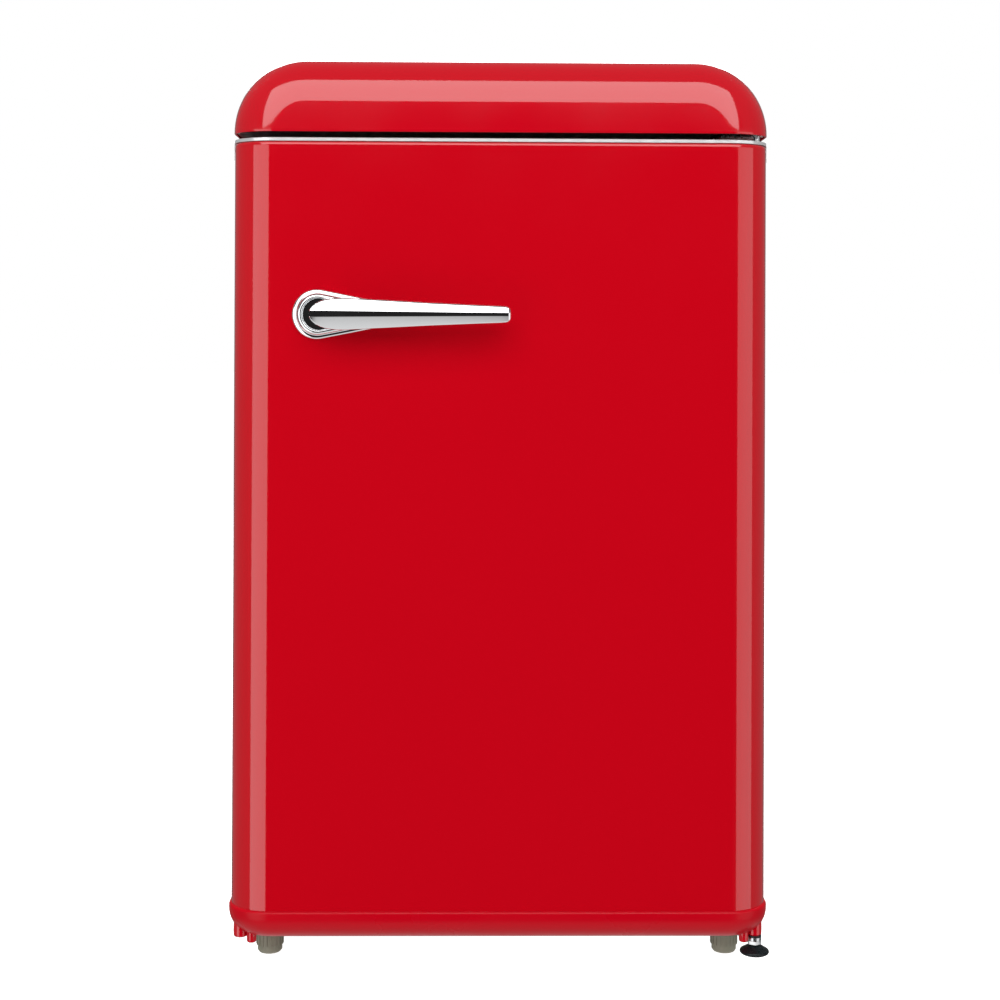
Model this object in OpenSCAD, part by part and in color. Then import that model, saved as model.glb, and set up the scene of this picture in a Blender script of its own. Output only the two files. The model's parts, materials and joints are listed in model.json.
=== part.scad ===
// Retro mini fridge with one reversible door, drawn as the separate pieces it comes apart into.
// +Z is up, +X is to the right of someone facing the door, and the door faces -Y.
// The modules measure y from the door's front face; stand() then puts the origin on the floor,
// in the middle of the overall width and depth.

/* [Overall] */
// Width of the cabinet and of the door
body_w = 530; // [480:1:640]
// Height from the floor to the top of the cap
body_h = 903; // [800:1:1100]
// Depth of the cabinet behind the door
cabinet_d = 460; // [420:1:560]
// Height of the cabinet's underside above the floor
base_h = 42; // [38:1:60]

/* [Top cap] */
// Height of the rounded cap
cap_h = 75; // [70:1:95]
// Radius of the cap's top corners, seen from the front
cap_corner_r = 73; // [50:1:75]
// Radius of the cap's rolled edge
cap_roll_r = 36; // [20:1:40]
// How far the cap stands proud of the door on each side
cap_proud = 0.8; // [0:0.1:3]
// Wall of the moulded cap
cap_wall = 3; // [2:0.5:5]

/* [Door] */
// Thickness of the door
door_t = 50; // [42:1:60]
// Radius of the door's vertical front edges
edge_r = 35; // [20:1:38]
// Gap between the door and the cap
cap_gap = 5.7; // [4:0.1:10]
// Space between the door and the cabinet, filled by the gasket
door_gap = 10; // [8:0.5:14]
// Height of the bright strip on the door's top edge
strip_h = 3.3; // [2:0.1:6]
// Height of the bulged end cap at the door's bottom
kick_h = 33; // [28:1:45]
// How far the end cap bulges beyond the door
kick_bulge = 2.4; // [0:0.1:5]
// Radius of the end cap's rolled underside
kick_roll_r = 27; // [10:1:30]
// Height of the door's underside above the floor
kick_z = 34.5; // [33:0.5:50]
// How far the raised rim of the door liner reaches back
dyke_d = 35; // [20:1:45]
// Width of the gasket
gasket_w = 18; // [12:1:22]

/* [Hinges] */
// Distance of the hinge axis from the side of the door
hinge_in = 10.5; // [9:0.5:16]
// Distance of the hinge axis behind the door's front face
hinge_back = 25; // [18:1:30]
// Diameter of the upper hinge pin
pin_d = 6.5; // [5:0.5:8]
// Wall of the hollow lower hinge pin
tube_wall = 1.2; // [1:0.1:2]
// Running clearance between pins and bushes, on the radius
run_clear = 0.05; // [0.03:0.01:0.1]
// Thickness of the hinge brackets
bracket_t = 3; // [2:0.5:4]

/* [Feet] */
// Diameter of the two plastic front feet
foot_d = 28; // [20:1:34]
// Diameter of the levelling foot's stem
stem_d = 8; // [6:0.5:8.5]
// Diameter of the levelling foot's pad
pad_d = 29; // [20:1:30]
// Height of the levelling foot's pad above the floor when wound up
pad_lift = 17.5; // [10:0.5:18]

/* [Handle] */
// Diameter of the handle's round base
handle_base_d = 48.6; // [40:0.5:60]
// Distance from the base's centre to the lever's tip
handle_len = 188; // [140:1:220]
// How far the lever reaches forward of the door
handle_reach = 38; // [30:1:50]
// Height of the handle's axis below the top of the door
handle_drop = 173; // [120:1:300]
// Distance of the base's centre from the middle of the door
handle_off = 179.5; // [140:0.5:200]

/* [Inside] */
// Thickness of the insulated side walls
wall_side = 37; // [30:1:45]
// Thickness of the insulated roof
wall_top = 45; // [35:1:60]
// Thickness of the insulated floor
wall_floor = 43; // [35:1:55]
// Thickness of the insulated back wall
wall_back = 40; // [30:1:50]
// Sheet thickness of the moulded liners
liner_t = 2; // [1.5:0.5:3]
// Thickness of the glass shelves
glass_t = 4; // [3:0.5:6]
// Height of the freezer box
freezer_h = 125; // [90:1:150]
// Depth of the freezer box
freezer_d = 270; // [200:1:300]
// Height of the crisper drawer
crisper_h = 155; // [110:1:180]
// Depth of the door bins
bin_d = 98; // [70:1:100]
// Wall of the bins and the drawer
bin_wall = 2.5; // [2:0.5:4]

/* [Machine] */
// Height of the machine compartment
machine_h = 183; // [180:1:220]
// Depth of the machine compartment
machine_d = 135; // [130:1:160]
// Diameter of the compressor's shell
comp_d = 122; // [100:1:124]
// Distance the wall spacers keep behind the cabinet
rear_gap = 38; // [36:1:50]
// Diameter of the condenser's tube
tube_od = 5; // [4:0.5:7]

/* [Hidden] */
$fn = 48;
half_w = body_w / 2;
sheet = 1;
fit = 0.3;
flange_t = 1.5;
stud_d = 8;
bin_gap = 20;
cap_front = -0.5;
cap_tail_r = 8;

cab_y = door_t + door_gap;
seal_y = cab_y - flange_t;
back_y = cab_y + cabinet_d;
rear_y = back_y + rear_gap;
origin_y = (rear_y - handle_reach) / 2;

cap_z = body_h - cap_h;
door_top = cap_z - cap_gap;
strip_z = door_top - strip_h;
kick_top = kick_z + kick_h;

hinge_x = half_w - hinge_in;
in_w = body_w / 2 - wall_side;
in_floor = base_h + wall_floor;
in_roof = cap_z - wall_top;
in_back = back_y - wall_back;
step_y = back_y - machine_d - wall_back + 5;
step_z = base_h + machine_h + 33;

dyke_out = in_w - 15;
dyke_in = dyke_out - 25;
dyke_lo = in_floor + 8;
dyke_hi = in_roof - 8;
gasket_out = half_w - 14;
gasket_lo = in_floor - 27;
gasket_hi = in_roof + 24;

front_y = door_t + 1.5 + bin_d + bin_gap;
crisper_d = step_y - front_y - 7;
crisper_top = in_floor + 5 + crisper_h;
cover_z = max(step_z, crisper_top) + 5;
freezer_top = in_roof - 12;
freezer_z = freezer_top - freezer_h;
tray_z = freezer_z - 28;
shelf_pitch = (tray_z - cover_z) / 3;
shelf_levels = [cover_z + shelf_pitch, cover_z + 2 * shelf_pitch];
shelf_half = in_w - 3;
shelf_d = in_back - 4 - front_y;

bin_half = dyke_in - 3;
bin_levels = [dyke_lo + 22, dyke_lo + 0.38 * (freezer_z - dyke_lo), freezer_z - 85];
bin_heights = [80, 60, 50];

handle_z = door_top - handle_drop;
seat_d = 3;
seat_t = 6.6;
standoff = 18;
neck_x = 57;
neck_half = 13.4;

tube_d = stem_d + 2 * run_clear + 2 * tube_wall;
bush_d = tube_d + 1.8;
boss_d = tube_d + 3.5;
nose_r = tube_d / 2 + 1.65;
peg_in = nose_r + 4.6;
head_d = pin_d + 7.5;

comp_x = -60;
comp_y = back_y - 62;
comp_z = base_h + 24;
comp_h = 114;
coil_w = body_w - 110;
coil_pitch = 46;
coil_y = back_y + 22;
coil_low = base_h + machine_h + 40;
coil_rows = floor((cap_z - 50 - coil_low) / coil_pitch);
foot_x = half_w - 32.5;
foot_y = cab_y + 21;

// Puts the origin in the middle of the overall depth.
module stand() {
    translate([0, -origin_y, 0]) children();
}

// A box given by its two opposite corners.
module span(low, high) {
    translate(low) cube(high - low);
}

// An upright cylinder from one height to another.
module post(x, y, low, high, d) {
    translate([x, y, low]) cylinder(d = d, h = high - low);
}

// A cylinder along y from one depth to another.
module peg_y(x, z, low, high, d) {
    translate([x, low, z]) rotate([-90, 0, 0]) cylinder(d = d, h = high - low);
}

// The door's plan: a flat front with rounded corners and straight sides, cut off at the back.
module door_plan(grow, back) {
    intersection() {
        union() {
            for (side = [-1, 1]) {
                translate([side * (half_w - edge_r), edge_r]) circle(r = edge_r + grow);
            }
            translate([edge_r - half_w, -grow]) square([body_w - 2 * edge_r, back + grow]);
            translate([-half_w - grow, edge_r]) square([body_w + 2 * grow, back - edge_r]);
        }
        translate([-body_w, -body_w]) square([2 * body_w, body_w + back]);
    }
}

// A solid of the door's plan between two heights.
module door_block(grow, back, low, high) {
    translate([0, 0, low]) linear_extrude(high - low) door_plan(grow, back);
}

// A rectangular ring standing upright, for liners and seals.
module ring(out_x, out_lo, out_hi, in_x, in_lo, in_hi, near, far) {
    difference() {
        span([-out_x, near, out_lo], [out_x, far, out_hi]);
        span([-in_x, near - 1, in_lo], [in_x, far + 1, in_hi]);
    }
}

// A straight tube of the refrigerant circuit along x.
module run_x(x0, x1, y, z) {
    translate([x0, y, z]) rotate([0, 90, 0]) cylinder(d = tube_od, h = x1 - x0);
}

// ---- Cabinet ----

module cabinet_shell() {
    color([0.8, 0.02, 0.08]) stand() difference() {
        span([-half_w, cab_y, base_h], [half_w, back_y, cap_z]);
        span([sheet - half_w, cab_y + sheet, base_h - 1], [half_w - sheet, back_y + 1, cap_z - sheet]);
        span([-gasket_out + gasket_w, cab_y - 1, base_h - 1],
             [gasket_out - gasket_w, cab_y + 2, gasket_hi - gasket_w]);
        for (spot = upper_holes) {
            post(spot[0], spot[1], cap_z - 2, cap_z + 1, 5.2);
        }
    }
}

module back_panel() {
    low = base_h + machine_h;
    color([0.75, 0.76, 0.78]) stand() difference() {
        span([sheet - half_w, back_y - sheet, low + sheet], [half_w - sheet, back_y, cap_z - sheet]);
        peg_y(suction_x, suction_z, back_y - 2, back_y + 1, tube_od + 4);
        for (spot = back_holes) {
            peg_y(spot[0], spot[1], back_y - 2, back_y + 1, 4.2);
        }
    }
}

module machine_panel() {
    near = back_y - machine_d;
    top = base_h + machine_h;
    color([0.75, 0.76, 0.78]) stand() union() {
        span([sheet - half_w, near, base_h + 2], [half_w - sheet, near + sheet, top]);
        span([sheet - half_w, near, top], [half_w - sheet, back_y, top + sheet]);
    }
}

module base_pan() {
    far = back_y - machine_d;
    color([0.7, 0.71, 0.73]) stand() difference() {
        span([sheet - half_w, cab_y + sheet, base_h], [half_w - sheet, far + sheet, base_h + 2]);
        for (side = [-1, 1]) {
            post(side * foot_x, foot_y, base_h - 1, base_h + 3, stud_d + 2 * run_clear);
            for (spot = bracket_holes) {
                post(side * spot[0], spot[1], base_h - 1, base_h + 3, 5.2);
            }
        }
    }
}

module compressor_tray() {
    near = back_y - 120;
    far = back_y - 4;
    color([0.25, 0.25, 0.27]) stand() difference() {
        union() {
            span([sheet - half_w, near, base_h], [half_w - sheet, far, base_h + 2]);
            span([sheet - half_w, near, base_h + 2], [half_w - sheet, near + 2, base_h + 12]);
            span([gland_x - 18, far - 2, base_h], [gland_x + 18, far, base_h + 44]);
        }
        peg_y(gland_x, gland_z, far - 3, far + 1, 16);
        for (spot = mount_spots) {
            post(comp_x + spot[0], comp_y + spot[1], base_h - 1, base_h + 3, 6.4);
        }
    }
}

// The food space's side section, grown outwards by a wall and open to the front.
module liner_side(grow, front) {
    polygon([
        [front, in_floor - grow], [step_y + grow, in_floor - grow],
        [step_y + grow, step_z - grow], [in_back + grow, step_z - grow],
        [in_back + grow, in_roof + grow], [front, in_roof + grow]
    ]);
}

module liner_block(grow, front) {
    half = in_w + grow;
    translate([-half, 0, 0]) rotate([90, 0, 90]) linear_extrude(2 * half) liner_side(grow, front);
}

module inner_liner() {
    color([0.95, 0.96, 0.96]) stand() union() {
        difference() {
            union() {
                liner_block(liner_t, seal_y);
                span([3 - half_w, seal_y, base_h + 5], [half_w - 3, cab_y, cap_z - 4]);
            }
            liner_block(0, seal_y - 1);
        }
        for (side = [-1, 1]) {
            for (z = concat(shelf_levels, [cover_z, tray_z])) {
                translate([side * (in_w - 4), front_y + shelf_d / 2, z - 2.5])
                    cube([8.4, shelf_d - 20, 5], center = true);
            }
            translate([side * 150, (front_y + step_y) / 2, in_floor + 2])
                cube([12, step_y - front_y - 10, 5.6], center = true);
        }
    }
}

module insulation_foam() {
    inner = liner_t + fit;
    color([0.93, 0.85, 0.6]) stand() difference() {
        span([sheet + fit - half_w, cab_y + sheet + fit, base_h + 2 + fit],
             [half_w - sheet - fit, back_y - sheet - fit, cap_z - sheet - fit]);
        liner_block(inner, cab_y);
        span([-half_w, back_y - machine_d - fit, base_h - 1],
             [half_w, back_y + 1, base_h + machine_h + sheet + fit]);
        for (side = [-1, 1]) {
            post(side * foot_x, foot_y, base_h, base_h + 12, 14);
            for (spot = bracket_holes) {
                post(side * spot[0], spot[1], base_h, base_h + 14, 8);
            }
        }
        for (spot = upper_holes) {
            post(spot[0], spot[1], cap_z - 14, cap_z, 8);
        }
        for (spot = back_holes) {
            peg_y(spot[0], spot[1], back_y - 12, back_y, 7);
        }
        peg_y(suction_x, suction_z, in_back, back_y, tube_od + 6);
    }
}

// ---- Top cap ----

// The cap's edge seen along its run: a large roll at the front and a small one at the back.
module cap_section(inset) {
    reach = cap_corner_r - inset;
    roll = cap_roll_r - inset;
    tail = cap_tail_r - inset;
    deep = back_y - cap_front - 2 * inset;
    difference() {
        square([reach, deep]);
        translate([reach - roll, 0]) difference() {
            square([roll + 1, roll]);
            translate([0, roll]) circle(r = roll);
        }
        translate([reach - tail, deep - tail]) difference() {
            square(tail + 1);
            circle(r = tail);
        }
    }
}

// The cap's outer form, shrunk on every face by inset: its edge run up the sides, round the
// corners and over the top of a plain core.
module cap_form(inset) {
    half = half_w + cap_proud - cap_corner_r;
    spine = body_h - cap_corner_r;
    front = cap_front + inset;
    below = cap_h;
    union() {
        for (side = [0, 1]) {
            mirror([side, 0, 0]) {
                translate([half, front, spine]) rotate([-90, 0, 0]) rotate([0, 0, -90])
                    rotate_extrude(angle = 90) cap_section(inset);
                translate([half, front, spine - below]) linear_extrude(below) cap_section(inset);
            }
        }
        translate([half, front, spine]) rotate([0, -90, 0]) linear_extrude(2 * half)
            cap_section(inset);
        span([-half, front, spine - below], [half, back_y - inset, spine]);
    }
}

module top_cap() {
    color([0.8, 0.02, 0.08]) stand() difference() {
        intersection() {
            cap_form(0);
            span([-body_w, -body_w, cap_z], [body_w, body_w + back_y, body_h + 1]);
        }
        intersection() {
            cap_form(cap_wall);
            span([-body_w, -body_w, cap_z - 1], [body_w, body_w + back_y, body_h + 1]);
        }
    }
}

module cap_underplate() {
    low = cap_z + 0.6;
    inner = cap_wall + 0.6;
    color([0.06, 0.06, 0.07]) stand() difference() {
        intersection() {
            cap_form(inner);
            span([-body_w, -body_w, low], [body_w, cab_y - 1, low + 2.4]);
        }
        span([hinge_x - 45, hinge_back - 11, low - 1], [body_w, cab_y, low + 4]);
    }
}

// ---- Hinges ----

bracket_holes = [
    [half_w - 70, cab_y + 36], [half_w - 52, cab_y + 52], [half_w - 20, cab_y + 52]
];
upper_holes = [
    [half_w - 44, cab_y + 18], [half_w - 44, cab_y + 42], [half_w - 16, cab_y + 30]
];

back_holes = [
    for (side = [-1, 1]) for (z = [base_h + machine_h + 20, cap_z - 20]) [side * (half_w - 12), z]
];

module upper_hinge_bracket() {
    color([0.78, 0.79, 0.8]) stand() difference() {
        union() {
            post(hinge_x, hinge_back, cap_z, cap_z + bracket_t, 12);
            span([hinge_x - 36, hinge_back, cap_z], [hinge_x + 5, cab_y + 6, cap_z + bracket_t]);
            span([half_w - 56, cab_y, cap_z], [hinge_x + 5, cab_y + 54, cap_z + bracket_t]);
        }
        post(hinge_x, hinge_back, cap_z - 1, cap_z + bracket_t + 1, pin_d);
        for (spot = upper_holes) {
            post(spot[0], spot[1], cap_z - 1, cap_z + bracket_t + 1, 5.2);
        }
    }
}

module upper_hinge_pin() {
    head = cap_z + bracket_t;
    color([0.82, 0.83, 0.84]) stand() union() {
        post(hinge_x, hinge_back, door_top - 24, head, pin_d);
        post(hinge_x, hinge_back, head, head + 3, pin_d + 4);
    }
}

// The bracket's nose stays inside the sweep of the door's stop peg.
plate_top = kick_z - 0.5;
plate_low = plate_top - bracket_t;
riser_y = cab_y - 2;

module lower_hinge_bracket() {
    lip = base_h - bracket_t;
    color([0.78, 0.79, 0.8]) stand() difference() {
        union() {
            post(hinge_x, hinge_back, plate_low, plate_top, 2 * nose_r);
            translate([0, 0, plate_low]) linear_extrude(bracket_t) polygon([
                [hinge_x + nose_r, hinge_back], [hinge_x + nose_r - 9, riser_y + bracket_t],
                [half_w - 82, riser_y + bracket_t], [hinge_x - 30, riser_y - 8],
                [hinge_x - nose_r, hinge_back + 2]
            ]);
            span([half_w - 82, riser_y, plate_low], [hinge_x + nose_r - 9, riser_y + bracket_t, base_h]);
            span([half_w - 82, riser_y, lip], [half_w - 12, cab_y + 62, base_h]);
        }
        post(hinge_x, hinge_back, plate_low - 1, plate_top + 1, tube_d);
        post(foot_x, foot_y, lip - 1, base_h + 1, stud_d + 2 * run_clear);
        for (spot = bracket_holes) {
            post(spot[0], spot[1], lip - 1, base_h + 1, 5.2);
        }
    }
}

module lower_hinge_pin() {
    color([0.82, 0.83, 0.84]) stand() difference() {
        post(hinge_x, hinge_back, plate_low, plate_top + 22, tube_d);
        post(hinge_x, hinge_back, plate_low - 1, plate_top + 20, stem_d + 2 * run_clear);
    }
}

// A pan-head screw pointing up or down from the face it clamps.
module screw(x, y, face, way, d, length) {
    head = face - way * 2.4;
    post(x, y, min(face, head), max(face, head), d * 1.9);
    post(x, y, min(face, face + way * length), max(face, face + way * length), d);
}

module hinge_screws() {
    color([0.7, 0.71, 0.72]) stand() {
        for (spot = bracket_holes) {
            screw(spot[0], spot[1], base_h - bracket_t, 1, 5, 14);
        }
        for (spot = upper_holes) {
            screw(spot[0], spot[1], cap_z + bracket_t, -1, 5, 14);
        }
    }
}

module body_screws() {
    color([0.7, 0.71, 0.72]) stand() {
        for (spot = back_holes) {
            peg_y(spot[0], spot[1], back_y, back_y + 2, 7.5);
            peg_y(spot[0], spot[1], back_y - 10, back_y, 4);
        }
    }
}

// ---- Feet ----

module levelling_stem() {
    color([0.82, 0.83, 0.84]) stand()
        post(hinge_x, hinge_back, pad_lift + 4, plate_top + 18, stem_d);
}

module levelling_pad() {
    color([0.05, 0.05, 0.06]) stand() translate([hinge_x, hinge_back, pad_lift]) difference() {
        rotate_extrude() union() {
            square([pad_d / 2 - 1.5, 4]);
            translate([pad_d / 2 - 2, 2]) circle(r = 2);
            polygon([[0, 3], [pad_d / 2 - 0.6, 3.4], [pad_d / 2 - 5, 6.2], [6.4, 8], [5, 8.6], [0, 8.6]]);
        }
        translate([0, 0, 4]) cylinder(d = stem_d, h = 10);
    }
}

// A ribbed foot whose stud screws into the base pan.
module front_foot(side) {
    ribs = 20;
    step = 7;
    tall = base_h - bracket_t - fit - step;
    color([0.48, 0.455, 0.41]) stand() translate([side * foot_x, foot_y, 0]) union() {
        cylinder(r1 = foot_d / 2 - 3, r2 = foot_d / 2 - 1.5, h = 2);
        translate([0, 0, 2]) cylinder(r = foot_d / 2 - 1.5, h = step - 2);
        translate([0, 0, step]) cylinder(r = foot_d / 2 - 0.7, h = tall);
        for (i = [0 : ribs - 1]) {
            rotate([0, 0, (i + 0.5) * 360 / ribs])
                translate([foot_d / 2 - 2, -0.8, step + 0.6]) cube([2, 1.6, tall - 1.2]);
        }
        cylinder(d = stud_d, h = base_h + 10);
    }
}

module front_foot_left() {
    front_foot(-1);
}

module front_foot_right() {
    front_foot(1);
}

module rear_feet() {
    color([0.06, 0.06, 0.07]) stand() {
        for (side = [-1, 1]) {
            post(side * (half_w - 30), back_y - 30, 0, base_h, 30);
        }
    }
}

module wall_spacers() {
    color([0.06, 0.06, 0.07]) stand() {
        for (side = [-1, 1]) {
            translate([side * (half_w - 15), back_y, cap_z - 60]) union() {
                translate([-8, 0, -20]) cube([16, rear_gap - 4, 40]);
                translate([-11, rear_gap - 4, -24]) cube([22, 4, 48]);
            }
        }
    }
}

// ---- Door ----

module door_panel() {
    color([0.8, 0.02, 0.08]) stand() difference() {
        door_block(0, door_t - liner_t - fit, kick_top, strip_z);
        door_block(-sheet, door_t, kick_top - 1, strip_z + 1);
        for (dx = [0, standoff]) {
            peg_y(-handle_off + dx - standoff / 2, handle_z, -2, sheet + 1, 5.2);
        }
    }
}

module door_top_cap() {
    inner = sheet + fit / 2;
    color([0.12, 0.12, 0.13]) stand() difference() {
        union() {
            door_block(-inner, door_t - liner_t - fit, strip_z - 12, strip_z);
            door_block(-4, door_t - liner_t - fit, strip_z, door_top - 1.6);
            for (side = [-1, 1]) {
                post(side * hinge_x, hinge_back, door_top - 30, strip_z, head_d);
            }
        }
        post(hinge_x, hinge_back, door_top - 26, door_top, head_d - 3);
    }
}

module door_strip() {
    tab = 16;
    color([0.93, 0.94, 0.95]) stand() union() {
        difference() {
            door_block(0.3, door_t - liner_t - fit, strip_z, door_top);
            door_block(-3.6, door_t + 1, strip_z - 1, door_top + 1);
            post(hinge_x, hinge_back, strip_z - 1, door_top + 1, head_d);
        }
        for (side = [-1, 1]) {
            translate([side * (half_w + 0.3), door_t - 12, strip_z - tab / 2])
                cube([0.6, 12, tab], center = true);
        }
    }
}

// The end cap's section: full width above, a rolled lower edge, a small radius at the top edge.
module kick_section(reach) {
    tip = 3;
    difference() {
        square([reach, kick_h]);
        translate([reach - kick_roll_r, 0]) difference() {
            square([kick_roll_r + 1, kick_roll_r]);
            translate([0, kick_roll_r]) circle(r = kick_roll_r);
        }
        translate([reach - tip, kick_h - tip]) difference() {
            square(tip + 1);
            circle(r = tip);
        }
    }
}

module door_bottom_cap() {
    reach = edge_r + kick_bulge;
    back = door_t - liner_t - fit;
    color([0.8, 0.02, 0.08]) stand() difference() {
        union() {
            for (side = [0, 1]) {
                mirror([side, 0, 0]) translate([half_w - edge_r, 0, kick_z]) union() {
                    translate([0, edge_r, 0]) rotate([0, 0, -90]) rotate_extrude(angle = 90)
                        kick_section(reach);
                    translate([0, back, 0]) rotate([90, 0, 0]) linear_extrude(back - edge_r)
                        kick_section(reach);
                }
            }
            translate([edge_r - half_w, edge_r, kick_z]) rotate([90, 0, 90])
                linear_extrude(body_w - 2 * edge_r) mirror([1, 0]) kick_section(reach);
            span([edge_r - half_w, edge_r - 0.1, kick_z], [half_w - edge_r, back, kick_top]);
            for (side = [-1, 1]) {
                post(side * hinge_x, hinge_back, kick_z + 1.6, kick_top - 4, boss_d);
                post(side * (hinge_x - peg_in), hinge_back - 5, kick_z - 3.6, kick_z + 8, 9.5);
            }
        }
        post(hinge_x, hinge_back, kick_z - 1, kick_z + 26, bush_d);
        post(hinge_x, hinge_back, kick_z - 1, kick_z + 1.6, boss_d + 0.6);
    }
}

module door_liner() {
    near = door_t - liner_t;
    far = door_t + dyke_d;
    deep = far - liner_t;
    color([0.95, 0.96, 0.96]) stand() union() {
        difference() {
            union() {
                span([1.5 - half_w, near, kick_z + 14], [half_w - 1.5, door_t, door_top - 2]);
                ring(dyke_out, dyke_lo, dyke_hi, dyke_in, dyke_lo + 16, dyke_hi - 16, near, far);
            }
            ring(dyke_out - liner_t, dyke_lo + liner_t, dyke_hi - liner_t,
                 dyke_in + liner_t, dyke_lo + 16 - liner_t, dyke_hi - 16 + liner_t, near - 1, deep);
        }
        for (z = bin_levels) {
            for (side = [-1, 1]) {
                translate([side * (dyke_in - 2.8), door_t + 16, z - 4.2])
                    cube([6, dyke_d - 8, 8], center = true);
            }
        }
    }
}

module door_foam() {
    near = sheet + fit;
    far = door_t - liner_t - fit;
    color([0.93, 0.85, 0.6]) stand() difference() {
        union() {
            door_block(-near, far, kick_top + fit, strip_z - 12 - fit);
            ring(dyke_out - liner_t - fit, dyke_lo + liner_t + fit, dyke_hi - liner_t - fit,
                 dyke_in + liner_t + fit, dyke_lo + 16 - liner_t - fit, dyke_hi - 16 + liner_t + fit,
                 far - 1, door_t + dyke_d - liner_t - fit);
        }
        for (side = [-1, 1]) {
            post(side * hinge_x, hinge_back, door_top - 32, door_top, head_d + 1);
        }
        for (dx = [0, standoff]) {
            peg_y(-handle_off + dx - standoff / 2, handle_z, 0, 14, 12);
        }
    }
}

module door_gasket() {
    far = seal_y - fit;
    mid = (door_t + far) / 2;
    color([0.85, 0.86, 0.87]) stand() difference() {
        ring(gasket_out, gasket_lo, gasket_hi, gasket_out - gasket_w, gasket_lo + gasket_w,
             gasket_hi - gasket_w, door_t, far);
        ring(gasket_out + 1, gasket_lo - 1, gasket_hi + 1, gasket_out - 3, gasket_lo + 3,
             gasket_hi - 3, mid - 1.5, mid + 1.5);
    }
}

// A nylon bush with a bore that runs on its pin.
module bush(low, high, outer, inner) {
    difference() {
        post(hinge_x, hinge_back, low, high, outer);
        post(hinge_x, hinge_back, low - 1, high + 1, inner);
    }
}

module upper_bush() {
    color([0.9, 0.9, 0.88]) stand() union() {
        bush(door_top - 26, door_top - 1.6, head_d - 3, pin_d + 2 * run_clear);
        bush(door_top - 1.6, door_top - 0.4, head_d - 1, pin_d + 2 * run_clear);
    }
}

module lower_bush() {
    inner = tube_d + 2 * run_clear;
    color([0.1, 0.1, 0.11]) stand() union() {
        bush(kick_z + 1.6, kick_z + 25, bush_d, inner);
        bush(kick_z - 0.3, kick_z + 1.6, boss_d - 0.4, inner);
    }
}

// ---- Handle ----

// The teardrop outline of the handle's base: a circle drawn out to the lever's neck.
module teardrop(inset) {
    r = handle_base_d / 2 - inset;
    half = neck_half - inset;
    turn = atan2(half, neck_x) + acos(r / norm([neck_x, half]));
    circle(r = r);
    polygon([
        [0, 0], [r * cos(turn), r * sin(turn)], [neck_x, half],
        [neck_x, -half], [r * cos(turn), -r * sin(turn)]
    ]);
}

module handle_base() {
    r = handle_base_d / 2;
    color([0.88, 0.89, 0.9]) stand() translate([-handle_off, 0, handle_z]) rotate([90, 0, 0])
        difference() {
            union() {
                rotate_extrude() polygon([
                    [0, 0], [r - 0.2, 0], [r - 0.2, 3.6], [r - 4.6, 5.6], [r - 5.2, 7.6],
                    [r - 6, 8.4], [15.4, 9], [13.5, 7.4], [7, seat_t], [0, seat_t]
                ]);
                linear_extrude(3.4) teardrop(0);
                linear_extrude(seat_t - 1) teardrop(3.8);
            }
            for (dx = [0, standoff]) {
                translate([dx - standoff / 2, 0, -1]) cylinder(d = 4, h = seat_d + 1);
            }
        }
}

// The lever: a ridged bar that narrows from the neck over the base to a free tip.
module handle_lever() {
    tip = handle_len;
    color([0.88, 0.89, 0.9]) stand() translate([-handle_off, 0, handle_z]) union() {
        rotate([90, 0, 0]) translate([0, 0, seat_t]) cylinder(d = 12, h = 6);
        hull() {
            lever_slice(-6, 7, 9.2, handle_reach - 7);
            lever_slice(26, 15.6, 10.2, handle_reach - 3.5);
            lever_slice(60, 14, 18, handle_reach);
            lever_slice(72, 13.6, 19, handle_reach);
        }
        hull() {
            lever_slice(60, 14, 18, handle_reach);
            lever_slice(72, 13.6, 19, handle_reach);
            lever_slice(tip - 3, 7.8, 23, handle_reach - 1.5);
            lever_slice(tip, 5.6, 24.5, handle_reach - 4);
        }
    }
}

// One slice of the lever at x: its half height, how far off the door its back is, and its front.
module lever_slice(x, half, low, high) {
    mid = low + 0.45 * (high - low);
    translate([x, 0, 0]) rotate([90, 0, 90]) linear_extrude(1) polygon([
        [-low, half * 0.7], [-low, -half * 0.7], [-mid, -half], [-high, -half * 0.22],
        [-high, half * 0.22], [-mid, half]
    ]);
}

module handle_screws() {
    color([0.7, 0.71, 0.72]) stand() {
        for (dx = [0, standoff]) {
            x = -handle_off + dx - standoff / 2;
            peg_y(x, handle_z, -seat_d, sheet + 0.1, 4);
            peg_y(x, handle_z, sheet, sheet + 4, 9);
        }
    }
}

// ---- Door bins ----

module door_bin(level, height) {
    near = door_t + 1.5;
    far = near + bin_d;
    w = bin_wall;
    color([0.85, 0.92, 0.95, 0.6]) stand() difference() {
        span([-bin_half, near, level], [bin_half, far, level + height]);
        span([w - bin_half, near + w, level + w], [bin_half - w, far - w, level + height + 1]);
    }
}

module bin_lower() {
    door_bin(bin_levels[0], bin_heights[0]);
}

module bin_middle() {
    door_bin(bin_levels[1], bin_heights[1]);
}

module bin_upper() {
    door_bin(bin_levels[2], bin_heights[2]);
}

// ---- Freezer box ----

freezer_half = dyke_in;
freezer_y = front_y + 6;
flap_pivot_z = freezer_top - 9;
flap_pivot_y = freezer_y - 5;

module freezer_box() {
    far = freezer_y + freezer_d;
    color([0.82, 0.84, 0.86]) stand() difference() {
        union() {
            span([-freezer_half, freezer_y, freezer_z], [freezer_half, far, freezer_top]);
            for (side = [-1, 1]) {
                span([side * (freezer_half - 40) - 8, freezer_y + 30, freezer_top - 1],
                     [side * (freezer_half - 40) + 8, far - 30, in_roof]);
            }
            flap_ears();
        }
        span([2.5 - freezer_half, freezer_y - 12, freezer_z + 2.5],
             [freezer_half - 2.5, far - 2.5, freezer_top - 2.5]);
    }
}

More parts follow.
